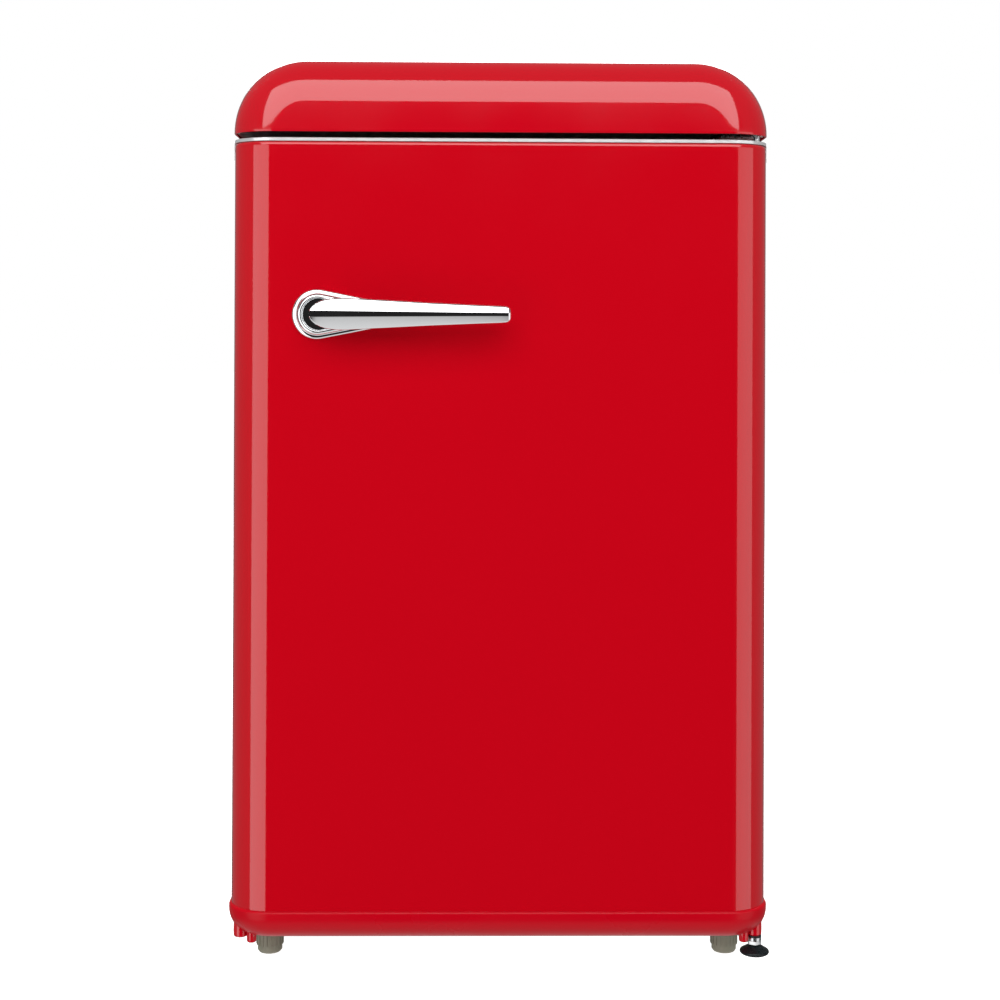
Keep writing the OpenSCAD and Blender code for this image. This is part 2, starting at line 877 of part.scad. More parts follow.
// The two ears of the freezer box that carry the flap's pins.
module flap_ears() {
    for (side = [-1, 1]) {
        x = side * (freezer_half - 1.25);
        difference() {
            span([x - 1.25, freezer_y - 11, flap_pivot_z - 7], [x + 1.25, freezer_y, freezer_top]);
            translate([x - 2, flap_pivot_y, flap_pivot_z]) rotate([0, 90, 0])
                cylinder(d = 4 + 2 * run_clear, h = 4);
        }
    }
}

module freezer_flap() {
    half = freezer_half - 3.5;
    color([0.7, 0.85, 0.95, 0.6]) stand() union() {
        span([-half, flap_pivot_y - 2, freezer_z + 2], [half, flap_pivot_y + 2, flap_pivot_z]);
        translate([-half, flap_pivot_y, flap_pivot_z]) rotate([0, 90, 0])
            cylinder(d = 6, h = 2 * half);
        translate([-freezer_half, flap_pivot_y, flap_pivot_z]) rotate([0, 90, 0])
            cylinder(d = 4, h = 2 * freezer_half);
        span([-32, flap_pivot_y - 6, freezer_z + 6], [32, flap_pivot_y - 2, freezer_z + 16]);
    }
}

module drip_tray() {
    half = in_w - 3.5;
    near = front_y + 4;
    far = near + freezer_d;
    color([0.85, 0.92, 0.95, 0.6]) stand() difference() {
        span([-half, near, tray_z], [half, far, tray_z + 20]);
        span([2 - half, near + 2, tray_z + 2], [half - 2, far - 2, tray_z + 21]);
    }
}

// ---- Controls ----

house_x = in_w - 46;
house_y = front_y + 18;
house_z = shelf_levels[1] + 32;
house_h = 50;
house_d = 130;
knob_x = house_x + 22;
knob_z = house_z + 25;

module thermostat_housing() {
    color([0.94, 0.95, 0.95]) stand() difference() {
        span([house_x, house_y, house_z], [in_w, house_y + house_d, house_z + house_h]);
        span([house_x + 2, house_y + 2, house_z + 2],
             [in_w + 1, house_y + house_d - 2, house_z + house_h - 2]);
        peg_y(knob_x, knob_z, house_y - 1, house_y + 3, 8 + 2 * run_clear);
        span([house_x - 1, house_y + 60, house_z + 10],
             [house_x + 3, house_y + house_d - 14, house_z + house_h - 10]);
    }
}

module thermostat_knob() {
    color([0.2, 0.45, 0.7]) stand() translate([knob_x, house_y - fit, knob_z]) rotate([90, 0, 0])
        union() {
            cylinder(d = 34, h = 5);
            translate([0, 0, 5]) cylinder(d = 30, h = 3);
            translate([-3, -15, 7]) cube([6, 30, 7]);
            translate([0, 0, -8]) cylinder(d = 8, h = 9);
        }
}

module lamp_bulb() {
    x = house_x + 23;
    color([1, 0.96, 0.85]) stand() union() {
        translate([x, house_y + 92, knob_z]) sphere(d = 24);
        peg_y(x, knob_z, house_y + 98, house_y + house_d - 2.2, 13);
    }
}

module lamp_lens() {
    color([1, 1, 0.95, 0.5]) stand() difference() {
        span([house_x - 5, house_y + 60.2, house_z + 10.2],
             [house_x + 2, house_y + house_d - 14.2, house_z + house_h - 10.2]);
        span([house_x - 3.4, house_y + 62, house_z + 12],
             [house_x + 3, house_y + house_d - 16, house_z + house_h - 12]);
    }
}

switch_x = -in_w + 46;
switch_z = in_roof - 14;
plunger_out = door_t + dyke_d + 1;
switch_y = plunger_out + 8;

module switch_body() {
    color([0.9, 0.9, 0.9]) stand() difference() {
        span([switch_x - 18, switch_y, in_roof - 26], [switch_x + 18, switch_y + 44, in_roof]);
        peg_y(switch_x, switch_z, switch_y - 1, switch_y + 24, 10 + 2 * run_clear);
    }
}

module switch_plunger() {
    color([0.95, 0.95, 0.95]) stand()
        peg_y(switch_x, switch_z, plunger_out, switch_y + 14, 10);
}

// ---- Shelves and crisper ----

module glass_shelves() {
    color([0.75, 0.9, 0.85, 0.4]) stand() {
        for (z = shelf_levels) {
            span([-shelf_half, front_y, z], [shelf_half, front_y + shelf_d, z + glass_t]);
        }
    }
}

module crisper_cover() {
    color([0.75, 0.9, 0.85, 0.4]) stand()
        span([-shelf_half, front_y, cover_z], [shelf_half, front_y + shelf_d, cover_z + glass_t]);
}

module shelf_trims() {
    color([0.93, 0.94, 0.95]) stand() {
        for (z = concat(shelf_levels, [cover_z])) {
            difference() {
                span([-shelf_half, front_y - 5, z - 3], [shelf_half, front_y + 6, z + glass_t + 3]);
                span([-shelf_half - 1, front_y, z], [shelf_half + 1, front_y + 7, z + glass_t]);
                span([-half_w, front_y + 5.9, z - 4], [half_w, front_y + 7, z + glass_t + 4]);
            }
        }
    }
}

module crisper_drawer() {
    half = in_w - 10;
    near = front_y + 2;
    low = in_floor + 5;
    w = bin_wall;
    color([0.8, 0.9, 0.95, 0.6]) stand() difference() {
        union() {
            span([-half, near, low], [half, near + crisper_d, low + crisper_h]);
            span([-70, near - 6, low + crisper_h - 34], [70, near + 1, low + crisper_h - 26]);
        }
        span([w - half, near + w, low + w], [half - w, near + crisper_d - w, low + crisper_h + 1]);
    }
}

// ---- Machine ----

mount_spots = [[-52, -38], [52, -38], [-52, 38], [52, 38]];
suction_x = 150;
suction_z = base_h + machine_h + 30;
gland_x = 60 - half_w;
gland_z = base_h + 28;

module compressor() {
    r = comp_d / 2;
    color([0.07, 0.07, 0.08]) stand() translate([comp_x, comp_y, comp_z]) difference() {
        union() {
            rotate_extrude() union() {
                translate([0, 16]) square([r, comp_h - 32]);
                translate([0, comp_h - 18]) square([r - 16, 18]);
                translate([r - 16, comp_h - 16]) circle(r = 16);
                translate([r - 16, 16]) circle(r = 16);
                square([r - 16, 20]);
                translate([0, comp_h / 2]) square([r + 1.5, 8]);
            }
            translate([-64, -50, -2]) cube([128, 100, 3]);
        }
        for (spot = mount_spots) {
            post(spot[0], spot[1], -4, 4, 12);
        }
    }
}

module compressor_grommets() {
    color([0.1, 0.1, 0.1]) stand() {
        for (spot = mount_spots) {
            translate([comp_x + spot[0], comp_y + spot[1], 0]) difference() {
                union() {
                    post(0, 0, base_h + 2, comp_z - 2, 20);
                    post(0, 0, comp_z - 2, comp_z + 3, 12);
                }
                post(0, 0, base_h, comp_z + 5, 6.4);
            }
        }
    }
}

module compressor_bolts() {
    color([0.75, 0.76, 0.77]) stand() {
        for (spot = mount_spots) {
            translate([comp_x + spot[0], comp_y + spot[1], 0]) union() {
                post(0, 0, base_h - 3, comp_z + 3, 6);
                post(0, 0, comp_z + 3, comp_z + 7, 13);
                post(0, 0, base_h - 4, base_h, 12);
            }
        }
    }
}

module terminal_cover() {
    x = comp_x + comp_d / 2 + 1.6;
    color([0.08, 0.08, 0.08]) stand() difference() {
        span([x - 12, comp_y - 26, comp_z + 38], [x + 26, comp_y + 26, comp_z + 92]);
        translate([comp_x, comp_y, comp_z + 30]) cylinder(d = comp_d + 4, h = 80);
    }
}

// A serpentine tube with its bends turned about y.
module condenser_coil() {
    half = coil_w / 2;
    color([0.07, 0.07, 0.08]) stand() union() {
        for (i = [0 : coil_rows]) {
            z = coil_low + i * coil_pitch;
            run_x(-half, half, coil_y, z);
            if (i < coil_rows) {
                translate([(i % 2 == 0 ? half : -half), coil_y, z + coil_pitch / 2])
                    rotate([90, 0, 0]) rotate([0, 0, i % 2 == 0 ? -90 : 90])
                        rotate_extrude(angle = 180) translate([coil_pitch / 2, 0])
                            circle(d = tube_od);
            }
        }
    }
}

// The upright wires that brace the coil in front and behind.
module condenser_wires() {
    wires = 13;
    run = coil_w - 60;
    wire_d = 1.8;
    color([0.07, 0.07, 0.08]) stand() {
        for (i = [0 : wires - 1]) {
            for (side = [-1, 1]) {
                post(-run / 2 + i * run / (wires - 1),
                     coil_y + side * ((tube_od + wire_d) / 2 + 0.02), coil_low - 12,
                     coil_low + coil_rows * coil_pitch + 12, wire_d);
            }
        }
    }
}

module condenser_brackets() {
    top = coil_low + (coil_rows - 1) * coil_pitch;
    color([0.06, 0.06, 0.07]) stand() {
        for (x = [14 - coil_w / 2, coil_w / 2 - 14]) {
            for (z = [coil_low + coil_pitch, top]) {
                difference() {
                    span([x - 7, back_y, z - 9], [x + 7, coil_y + 6, z + 9]);
                    translate([x - 8, coil_y, z]) rotate([0, 90, 0]) cylinder(d = tube_od, h = 16);
                    span([x - 8, coil_y - tube_od / 2 - 1.4, z - 10],
                         [x + 8, coil_y + tube_od / 2 + 1.4, z + 10]);
                }
            }
        }
    }
}

module filter_drier() {
    x = 120;
    y = back_y - machine_d + 16;
    low = base_h + 60;
    color([0.72, 0.45, 0.3]) stand() union() {
        span([x - 4, back_y - machine_d + sheet, low + 34], [x + 4, y, low + 44]);
        post(x, y, low, low + 90, 17);
        post(x, y, low - 14, low + 104, 5);
        translate([x, y, low - 8]) cylinder(d1 = 5, d2 = 17, h = 8);
        translate([x, y, low + 90]) cylinder(d1 = 17, d2 = 5, h = 8);
    }
}

module suction_line() {
    z = comp_z + comp_h * 0.35;
    x0 = comp_x + comp_d / 2 - 10;
    far = back_y + 8;
    color([0.72, 0.45, 0.3]) stand() union() {
        translate([x0 - 14, comp_y + 36, z - 20]) rotate([0, 90, 0])
            cylinder(d = tube_od + 1, h = suction_x - x0 + 14);
        translate([suction_x, comp_y + 36, z - 20]) sphere(d = tube_od + 1);
        peg_y(suction_x, z - 20, comp_y + 36, far, tube_od + 1);
        translate([suction_x, far, z - 20]) sphere(d = tube_od + 1);
        post(suction_x, far, z - 20, suction_z, tube_od + 1);
        translate([suction_x, far, suction_z]) sphere(d = tube_od + 1);
        peg_y(suction_x, suction_z, in_back + 6, far, tube_od + 1);
    }
}

module evaporating_pan() {
    low = comp_z + comp_h;
    color([0.9, 0.9, 0.9]) stand() difference() {
        span([comp_x - 58, comp_y - 50, low], [comp_x + 58, comp_y + 48, low + 18]);
        span([comp_x - 56, comp_y - 48, low + 2], [comp_x + 56, comp_y + 46, low + 19]);
    }
}

module mains_gland() {
    far = back_y - 4;
    color([0.07, 0.07, 0.08]) stand() difference() {
        union() {
            peg_y(gland_x, gland_z, far - 16, far + 8, 16);
            peg_y(gland_x, gland_z, far, far + 3, 22);
        }
        peg_y(gland_x, gland_z, far - 17, far + 9, 8);
    }
}

cabinet_shell();
back_panel();
machine_panel();
base_pan();
compressor_tray();
inner_liner();
insulation_foam();
top_cap();
cap_underplate();
upper_hinge_bracket();
upper_hinge_pin();
lower_hinge_bracket();
lower_hinge_pin();
hinge_screws();
body_screws();
levelling_stem();
levelling_pad();
front_foot_left();
front_foot_right();
rear_feet();
wall_spacers();
door_panel();
door_top_cap();
door_strip();
door_bottom_cap();
door_liner();
door_foam();
door_gasket();
upper_bush();
lower_bush();
handle_base();
handle_lever();
handle_screws();
bin_lower();
bin_middle();
bin_upper();
freezer_box();
freezer_flap();
drip_tray();
thermostat_housing();
thermostat_knob();
lamp_bulb();
lamp_lens();
switch_body();
switch_plunger();
glass_shelves();
crisper_cover();
shelf_trims();
crisper_drawer();
compressor();
compressor_grommets();
compressor_bolts();
terminal_cover();
condenser_coil();
condenser_wires();
condenser_brackets();
filter_drier();
suction_line();
evaporating_pan();
mains_gland();
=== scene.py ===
import json
import math

import bmesh
import bpy
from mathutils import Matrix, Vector


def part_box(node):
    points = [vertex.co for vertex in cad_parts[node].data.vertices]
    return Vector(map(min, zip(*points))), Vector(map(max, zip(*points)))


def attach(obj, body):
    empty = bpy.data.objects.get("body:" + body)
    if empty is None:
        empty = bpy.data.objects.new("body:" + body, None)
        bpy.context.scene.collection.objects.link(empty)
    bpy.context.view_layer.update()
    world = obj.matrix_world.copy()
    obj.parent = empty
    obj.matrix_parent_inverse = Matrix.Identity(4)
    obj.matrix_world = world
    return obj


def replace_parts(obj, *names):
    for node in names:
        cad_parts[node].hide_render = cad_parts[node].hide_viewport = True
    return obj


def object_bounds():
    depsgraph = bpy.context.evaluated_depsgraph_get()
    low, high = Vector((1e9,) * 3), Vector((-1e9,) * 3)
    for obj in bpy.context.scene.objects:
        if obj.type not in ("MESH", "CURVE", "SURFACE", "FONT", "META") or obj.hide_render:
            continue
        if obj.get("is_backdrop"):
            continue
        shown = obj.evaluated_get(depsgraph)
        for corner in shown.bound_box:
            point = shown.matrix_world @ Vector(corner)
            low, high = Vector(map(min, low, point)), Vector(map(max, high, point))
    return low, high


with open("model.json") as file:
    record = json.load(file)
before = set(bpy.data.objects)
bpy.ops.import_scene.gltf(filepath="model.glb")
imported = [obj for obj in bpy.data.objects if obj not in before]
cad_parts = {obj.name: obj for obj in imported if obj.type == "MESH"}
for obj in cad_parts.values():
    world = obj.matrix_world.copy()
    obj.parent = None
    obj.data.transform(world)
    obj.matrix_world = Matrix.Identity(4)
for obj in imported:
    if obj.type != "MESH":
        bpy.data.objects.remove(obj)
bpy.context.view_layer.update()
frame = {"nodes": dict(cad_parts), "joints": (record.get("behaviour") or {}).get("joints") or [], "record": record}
nodes = frame["nodes"]
body_of_node = {n: b for b, names in frame["record"]["behaviour"]["bodies"].items() for n in names}

# ---------------------------------------------------------------- camera

door_low, door_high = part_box("door_panel")
CAMERA_AWAY = 1.60
CAMERA_HEIGHT = 0.624
CAMERA_LEFT = 0.022
CAMERA_LENS_MM = 58.9
CAMERA_SHIFT = -0.1694
CAMERA_TILT, CAMERA_ROLL, CAMERA_TURN = 90.36, -0.23, -0.76
camera_data = bpy.data.cameras.new("camera")
camera_data.lens = CAMERA_LENS_MM
camera_data.sensor_width = 36
camera_data.shift_y = CAMERA_SHIFT
camera = bpy.data.objects.new("camera", camera_data)
bpy.context.scene.collection.objects.link(camera)
camera.location = (-CAMERA_LEFT, door_low.y - CAMERA_AWAY, CAMERA_HEIGHT)
camera.rotation_euler = [math.radians(a) for a in (CAMERA_TILT, CAMERA_ROLL, CAMERA_TURN)]
bpy.context.scene.camera = camera

# ---------------------------------------------------------------- materials


def shader(name, colour, rough, metal=0.0, coat=0.0, coat_rough=0.05, spec=0.5, sheen=0.0,
           transmit=0.0, ior=1.45, tone=0.06, patch=9.0, rough_spread=0.25, grain=(900.0, 0.02),
           second=None):
    """A Principled material whose colour, roughness and bump all vary through the piece."""
    m = bpy.data.materials.new(name)
    m.use_nodes = True
    tree = m.node_tree
    tree.nodes.clear()
    add = tree.nodes.new
    link = tree.links.new
    out = add("ShaderNodeOutputMaterial")
    p = add("ShaderNodeBsdfPrincipled")
    link(p.outputs[0], out.inputs["Surface"])
    p.inputs["Metallic"].default_value = metal
    p.inputs["Coat Weight"].default_value = coat
    p.inputs["Coat Roughness"].default_value = coat_rough
    p.inputs["Specular IOR Level"].default_value = spec
    p.inputs["Sheen Weight"].default_value = sheen
    p.inputs["Transmission Weight"].default_value = transmit
    p.inputs["IOR"].default_value = ior
    place = add("ShaderNodeTexCoord")

    def noise(scale, detail):
        n = add("ShaderNodeTexNoise")
        n.inputs["Scale"].default_value = scale
        n.inputs["Detail"].default_value = detail
        link(place.outputs["Object"], n.inputs["Vector"])
        return n.outputs["Fac"]

    wide = noise(patch, 4.0)
    ramp = add("ShaderNodeValToRGB")
    low = [c * (1 - tone) for c in colour]
    high = [min(1.0, c * (1 + tone)) for c in (second or colour)]
    ramp.color_ramp.elements[0].position = 0.3
    ramp.color_ramp.elements[0].color = (*low, 1)
    ramp.color_ramp.elements[1].position = 0.7
    ramp.color_ramp.elements[1].color = (*high, 1)
    link(wide, ramp.inputs["Fac"])
    link(ramp.outputs["Color"], p.inputs["Base Color"])
    spread = add("ShaderNodeMapRange")
    spread.inputs["From Min"].default_value = 0.3
    spread.inputs["From Max"].default_value = 0.7
    spread.inputs["To Min"].default_value = rough * (1 - rough_spread)
    spread.inputs["To Max"].default_value = min(1.0, rough * (1 + rough_spread))
    link(noise(patch * 5, 6.0), spread.inputs["Value"])
    link(spread.outputs[0], p.inputs["Roughness"])
    bump = add("ShaderNodeBump")
    bump.inputs["Strength"].default_value = grain[1]
    bump.inputs["Distance"].default_value = 0.001
    link(noise(grain[0], 3.0), bump.inputs["Height"])
    link(bump.outputs[0], p.inputs["Normal"])
    return m


RED = (0.61, 0.0004, 0.0085)
MATERIALS = {
    "red_paint": shader("red_paint", RED, 0.10, coat=1.0, coat_rough=0.03, spec=0.45, tone=0.012,
                        patch=2.2, grain=(420.0, 0.010)),
    "red_plastic": shader("red_plastic", (0.62, 0.0004, 0.010), 0.10, coat=1.0, coat_rough=0.03,
                          spec=0.45, tone=0.012, patch=2.6, grain=(300.0, 0.014)),
    "red_satin": shader("red_satin", (0.58, 0.0006, 0.010), 0.30, coat=0.08, coat_rough=0.08,
                        spec=0.16, tone=0.012, patch=2.6, grain=(300.0, 0.02)),
    "galvanised_sheet": shader("galvanised_sheet", (0.55, 0.56, 0.57), 0.42, metal=1.0, tone=0.14,
                               patch=55.0, grain=(260.0, 0.06)),
    "black_metal": shader("black_metal", (0.018, 0.018, 0.02), 0.38, coat=0.2, tone=0.2, patch=18.0,
                          grain=(700.0, 0.08)),
    "white_liner": shader("white_liner", (0.86, 0.87, 0.875), 0.24, coat=0.15, tone=0.015,
                          patch=3.0, grain=(650.0, 0.03)),
    "white_plastic": shader("white_plastic", (0.83, 0.84, 0.84), 0.4, tone=0.03, patch=14.0,
                            grain=(1100.0, 0.1)),
    "foam": shader("foam", (0.85, 0.70, 0.42), 0.9, tone=0.12, patch=60.0, grain=(500.0, 0.6)),
    "black_plastic": shader("black_plastic", (0.013, 0.013, 0.015), 0.42, tone=0.15, patch=20.0,
                            grain=(1500.0, 0.14)),
    # black rubber: the near-black is the rubber's own colour, and its slight blue-green cast is a painted
    # reflection
    "black_rubber": shader("black_rubber", (0.006, 0.010, 0.012), 0.26, spec=0.4, tone=0.2,
                           patch=40.0, grain=(900.0, 0.10)),
    "zinc_steel": shader("zinc_steel", (0.70, 0.71, 0.72), 0.26, metal=1.0, tone=0.08, patch=70.0,
                         grain=(800.0, 0.05)),
    "chrome": shader("chrome", (0.86, 0.87, 0.88), 0.055, metal=1.0, tone=0.01, patch=20.0,
                     rough_spread=0.4, grain=(300.0, 0.01)),
    "bright_strip": shader("bright_strip", (0.93, 0.93, 0.94), 0.2, metal=0.6, tone=0.02,
                           patch=20.0, grain=(600.0, 0.03)),
    "gasket_grey": shader("gasket_grey", (0.60, 0.61, 0.62), 0.55, tone=0.05, patch=20.0,
                          grain=(700.0, 0.1), sheen=0.1),
    "nylon": shader("nylon", (0.78, 0.78, 0.73), 0.4, tone=0.04, patch=30.0, grain=(900.0, 0.08)),
    "taupe_plastic": shader("taupe_plastic", (0.34, 0.33, 0.25), 0.55, tone=0.1, patch=60.0,
                            grain=(1300.0, 0.25)),
    "blue_plastic": shader("blue_plastic", (0.045, 0.16, 0.40), 0.3, tone=0.04, patch=30.0,
                           grain=(900.0, 0.06)),
    "clear_plastic": shader("clear_plastic", (0.88, 0.95, 0.97), 0.08, transmit=0.92, ior=1.3,
                            tone=0.02, patch=12.0, grain=(240.0, 0.02)),
    "shelf_glass": shader("shelf_glass", (0.86, 0.96, 0.93), 0.03, transmit=0.96, ior=1.45,
                          tone=0.01, patch=8.0, grain=(60.0, 0.004)),
    "lamp_glass": shader("lamp_glass", (1.0, 0.97, 0.90), 0.3, transmit=0.7, ior=1.4, tone=0.01,
                         patch=20.0, grain=(900.0, 0.1)),
    "evaporator_aluminium": shader("evaporator_aluminium", (0.72, 0.74, 0.76), 0.36, metal=0.9,
                                   tone=0.07, patch=26.0, grain=(420.0, 0.08)),
    "copper": shader("copper", (0.72, 0.33, 0.17), 0.28, metal=1.0, tone=0.15, patch=40.0,
                     grain=(500.0, 0.06), second=(0.55, 0.22, 0.12)),
}
for part in frame["record"]["subparts"]:
    wanted = MATERIALS[part["material_slot"]]
    slots = nodes[part["node"]].data.materials
    slots.clear()
    slots.append(wanted)

# ---------------------------------------------------------------- mesh helpers


def piece(name, verts, faces, body, slot, sharp=32.0, wall=0.0, material=None):
    """A new mesh that rides on a body, takes a record slot's finish and is shaded smooth."""
    mesh = bpy.data.meshes.new(name)
    mesh.from_pydata([tuple(v) for v in verts], [], faces)
    bm = bmesh.new()
    bm.from_mesh(mesh)
    bmesh.ops.remove_doubles(bm, verts=bm.verts, dist=2e-6)
    bmesh.ops.dissolve_degenerate(bm, edges=bm.edges, dist=1e-6)
    bmesh.ops.recalc_face_normals(bm, faces=bm.faces)
    bm.to_mesh(mesh)
    bm.free()
    mesh.polygons.foreach_set("use_smooth", [True] * len(mesh.polygons))
    mesh.set_sharp_from_angle(angle=math.radians(sharp))
    mesh.materials.append(material or MATERIALS[slot])
    made = bpy.data.objects.new(name, mesh)
    bpy.context.scene.collection.objects.link(made)
    if wall:
        solid = made.modifiers.new("wall", "SOLIDIFY")
        solid.thickness = wall
        solid.offset = -1.0
    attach(made, body)
    return made


def bridge(rings, closed=False, first=False, last=False):
    """Quads between rings of equal length, with a face over the first or last ring if wanted."""
    count = len(rings[0])
    verts = [v for ring in rings for v in ring]
    faces = []
    for i in range(len(rings) - 1):
        for j in range(count if closed else count - 1):
            k = (j + 1) % count
            faces.append((i * count + j, i * count + k, (i + 1) * count + k, (i + 1) * count + j))
    if first:
        faces.append(tuple(range(count)))
    if last:
        faces.append(tuple(range((len(rings) - 1) * count, len(rings) * count)))
    return verts, faces


def boxed(rings):
    """Open rings bridged, with a face over the last ring and one over the open back."""
    verts, faces = bridge(rings, last=True)
    count = len(rings[0])
    starts = [i * count for i in range(len(rings))]
    ends = [i * count + count - 1 for i in reversed(range(len(rings)))]
    faces.append(tuple(starts + ends))
    return verts, faces


def revolve(name, profile, centre, body, slot, steps=32):
    """Turns (radius, height) points round the vertical line through a centre."""
    rings = []
    for radius, height in profile:
        turns = [2 * math.pi * i / steps for i in range(steps)]
        rings.append([Vector(centre) + Vector((radius * math.cos(a), radius * math.sin(a), height))
                      for a in turns])
    return piece(name, *bridge(rings, closed=True, first=True, last=True), body, slot)


def arc(start, end, count):
    """Angles in radians from start to end degrees."""
    return [math.radians(start + (end - start) * i / count) for i in range(count + 1)]


# ---------------------------------------------------------------- top cap

low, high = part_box("top_cap")
CAP_CORNER = 0.073
CAP_ROLL = 0.045
CAP_ROLL_DEEP = 0.036
CAP_TAIL = 0.008
HEM = [(0.0, 0.0009), (0.0004, 0.0003), (0.0011, 0.0)]
deep = high.y - low.y
half = high.x - CAP_CORNER
spine = high.z - CAP_CORNER
drop = spine - low.z
section = [(u, 0.0, 0.0, -1.0) for u in (0.0, 0.009, 0.018, 0.025, 0.0277)]
for t in arc(0, 90, 30):
    tilt = Vector((math.sin(t) / CAP_ROLL, math.cos(t) / CAP_ROLL_DEEP)).normalized()
    section.append((CAP_CORNER - CAP_ROLL + CAP_ROLL * math.sin(t),
                    CAP_ROLL_DEEP * (1 - math.cos(t)), tilt.x, -tilt.y))
section += [(CAP_CORNER, y, 1.0, 0.0) for y in (0.0366, 0.12, 0.30, deep - CAP_TAIL - 0.0006)]
for t in arc(0, 90, 8):
    section.append((CAP_CORNER - CAP_TAIL + CAP_TAIL * math.cos(t),
                    deep - CAP_TAIL + CAP_TAIL * math.sin(t), math.cos(t), math.sin(t)))
section += [(u, deep, 0.0, 1.0) for u in (0.055, 0.03, 0.0)]


def cap_ring(x, z, out_x, out_z, inset, tail):
    """One ring of the cap: the section set out from a spine point, with its hem if it has one."""
    ring = []
    for up, tuck in HEM:
        ring.append(Vector((x, low.y + (tuck if tail else inset), z - (drop - up if tail else 0))))
    for u, y, nu, ny in section:
        reach = u - nu * inset
        ring.append(Vector((x + out_x * reach, low.y + y - ny * inset, z + out_z * reach)))
    for up, tuck in reversed(HEM):
        ring.append(Vector((x, high.y - (tuck if tail else inset), z - (drop - up if tail else 0))))
    return ring


rings = []
for up, tuck in HEM:
    rings.append(cap_ring(-half, low.z + up, -1, 0, tuck, False))
for t in arc(0, 90, 26):
    rings.append(cap_ring(-half, spine, -math.cos(t), math.sin(t), 0, False))
for i in range(9):
    rings.append(cap_ring(-half + 2 * half * i / 8, spine, 0, 1, 0, True))
for t in arc(90, 0, 26):
    rings.append(cap_ring(half, spine, math.cos(t), math.sin(t), 0, False))
for up, tuck in reversed(HEM):
    rings.append(cap_ring(half, low.z + up, 1, 0, tuck, False))
cap = piece("cap_moulding", *bridge(rings), body_of_node["top_cap"], "red_plastic", wall=0.0024)
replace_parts(cap, "top_cap")

# ---------------------------------------------------------------- door skin, strip and end cap

CORNER_WIDE = 0.042
CORNER_DEEP = 0.035
door_half = door_high.x
front_y = door_low.y
back_y = door_high.y


def plan(back):
    """The door's outline from the left rear round the front to the right rear, with normals."""
    side = [(door_half, back, 1.0, 0.0), (door_half, front_y + CORNER_DEEP + 0.0006, 1.0, 0.0)]
    for t in arc(0, 90, 30):
        tilt = Vector((math.cos(t) / CORNER_WIDE, math.sin(t) / CORNER_DEEP)).normalized()
        side.append((door_half - CORNER_WIDE + CORNER_WIDE * math.cos(t),
                     front_y + CORNER_DEEP - CORNER_DEEP * math.sin(t), tilt.x, -tilt.y))
    side.append((door_half - CORNER_WIDE - 0.0006, front_y, 0.0, -1.0))
    middle = [(x, front_y, 0.0, -1.0) for x in (0.15, 0.06)]
    right = side + middle
    return [(-x, y, -nx, ny) for x, y, nx, ny in right] + list(reversed(right))


def rows(outline, steps):
    """Rows of the outline at each (height, inset)."""
    return [[Vector((x - nx * inset, y - ny * inset, z)) for x, y, nx, ny in outline]
            for z, inset in steps]


outline = plan(back_y)
TOP_ROLL = 0.0032
levels = [(door_low.z, 0.004), (door_low.z, 0.0)]
levels += [(door_low.z + (door_high.z - TOP_ROLL - door_low.z) * i / 10, 0.0) for i in range(1, 10)]
levels += [(door_high.z - TOP_ROLL - 0.0012, 0.0), (door_high.z - TOP_ROLL, 0.0)]
levels += [(door_high.z - TOP_ROLL + TOP_ROLL * math.sin(t), TOP_ROLL * (1 - math.cos(t)))
           for t in arc(9, 90, 9)]
levels.append((door_high.z, 0.0085))
skin = piece("door_skin", *bridge(rows(outline, levels)), "door", "red_paint", wall=0.0007)
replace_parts(skin, "door_panel", "door_foam")

low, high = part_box("door_top_cap")
cap_rows = rows(plan(back_y), [(door_high.z - 0.012, 0.0016), (door_high.z - 0.0006, 0.0016),
                               (door_high.z, 0.0040), (high.z - 0.0008, 0.0040),
                               (high.z, 0.0048), (high.z, 0.0080)])
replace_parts(piece("door_head", *boxed(cap_rows), "door", "black_plastic"), "door_top_cap")

low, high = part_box("door_strip")
base = door_high.z
strip_levels = [(base, 0.0036), (base, 0.0001), (base + 0.0003, -0.0002), (high.z - 0.0005, -0.0002),
                (high.z - 0.0002, 0.0), (high.z, 0.0004), (high.z, 0.0034), (base, 0.0034)]
strip = piece("door_top_strip", *bridge(rows(plan(back_y), strip_levels)), "door", "bright_strip")
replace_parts(strip, "door_strip")
TAB_FRONT = 0.032
TAB_BACK = 0.044
TAB_THICK = 0.0006
TAB_TUCK = 0.001
TAB_CHAMFER = 0.0005
for side, name in ((-1, "strip_tab_left"), (1, "strip_tab_right")):
    ring = [(TAB_FRONT, low.z), (TAB_FRONT + TAB_TUCK, low.z), (TAB_BACK - TAB_CHAMFER, low.z),
            (TAB_BACK, low.z + TAB_TUCK), (TAB_BACK, base + TAB_TUCK), (TAB_FRONT, base + TAB_TUCK)]
    stack = [[Vector((side * (door_half + out), front_y + y, z)) for y, z in ring]
             for out in (0.0, TAB_THICK)]
    piece(name, *bridge(stack, closed=True, first=True, last=True), "door", "bright_strip")

low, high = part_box("door_bottom_cap")
BULGE = 0.0024
PEG = 0.0036
KICK_LIFT = 0.002
KICK_ROLL = 0.0255
EDGE = 0.003
kick_low = low.z + PEG + KICK_LIFT
kick_high = high.z
profile = [(kick_high, 0.006)]
profile += [(kick_high - EDGE + EDGE * math.cos(t), EDGE - BULGE - EDGE * math.sin(t))
            for t in arc(0, 90, 7)]
profile += [(kick_low + KICK_ROLL - KICK_ROLL * math.sin(t),
             KICK_ROLL * (1 - math.cos(t)) - BULGE) for t in arc(0, 90, 22)]
kick = piece("door_end_cap", *boxed(rows(plan(high.y), profile)), "door", "red_plastic", sharp=50,
             material=MATERIALS["red_satin"])
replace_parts(kick, "door_bottom_cap")

